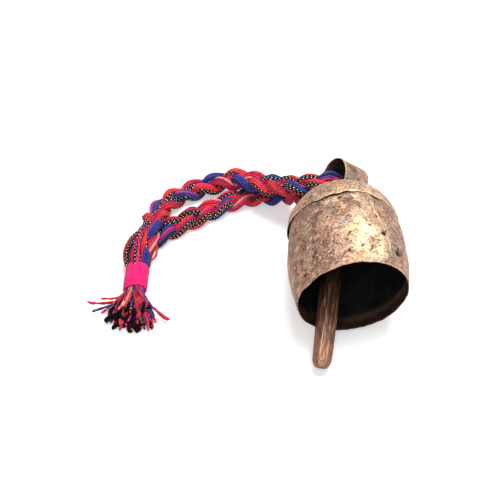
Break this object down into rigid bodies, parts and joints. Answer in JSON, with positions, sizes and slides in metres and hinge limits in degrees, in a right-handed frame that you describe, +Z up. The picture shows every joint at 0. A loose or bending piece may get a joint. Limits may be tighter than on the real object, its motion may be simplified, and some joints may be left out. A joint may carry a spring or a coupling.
{
  "type": "tibetan bell",
  "caption": "Small hand-made sheet-metal bell lying on its side, with a swinging wooden clapper and a braided hanging cord that ends in a tassel.",
  "frame": {"origin": "on the ground, under the middle of the whole object's box", "axes": "+X to the bell's right, away from the tassel; +Y along the bell's axis from mouth to crown; +Z up, the bell lying on its side"},
  "size_m": [0.1797, 0.1459, 0.0683],
  "materials": {
    "bell_metal": "aged, hammered and patinated",
    "iron_wire": "dark, oxidised",
    "clapper_wood": "carved, oiled by handling",
    "cord_yarn": "plied yarn, matt",
    "whipping_thread": "wound thread, matt",
    "tassel_yarn": "plied yarn, matt"
  },
  "bodies": {
    "bell": {"barrel": "bell_metal", "crown_cap": "bell_metal", "hanger_strap": "bell_metal", "crown_staple": "iron_wire", "rope_bight": "cord_yarn"},
    "clapper_link": {"clapper_link": "iron_wire"},
    "clapper": {"clapper": "clapper_wood"},
    "cord": {"rope_strand_upper": "cord_yarn", "rope_strand_lower": "cord_yarn"},
    "tassel": {"whipping": "whipping_thread", "tassel": "tassel_yarn"}
  },
  "joints": [
    {"name": "clapper_lift", "type": "hinge", "parent": "bell", "child": "clapper_link", "pos_m": [0.0538, 0.0226, 0.0342], "axis": [-1, 0, 0], "range_deg": [0, 32]},
    {"name": "clapper_sway", "type": "hinge", "parent": "clapper_link", "child": "clapper", "pos_m": [0.0538, 0.01396, 0.03169], "axis": [0, -0.2785, 0.9604], "range_deg": [0, 26]},
    {"name": "cord_swing", "type": "hinge", "parent": "bell", "child": "cord", "pos_m": [0.0398, 0.0407, 0.0236], "axis": [0, 0, -1], "range_deg": [-35, 65]},
    {"name": "tassel_swing", "type": "hinge", "parent": "cord", "child": "tassel", "pos_m": [-0.0651, 0.00568, 0.0072], "axis": [0, 0, 1], "range_deg": [-30, 30]}
  ]
}
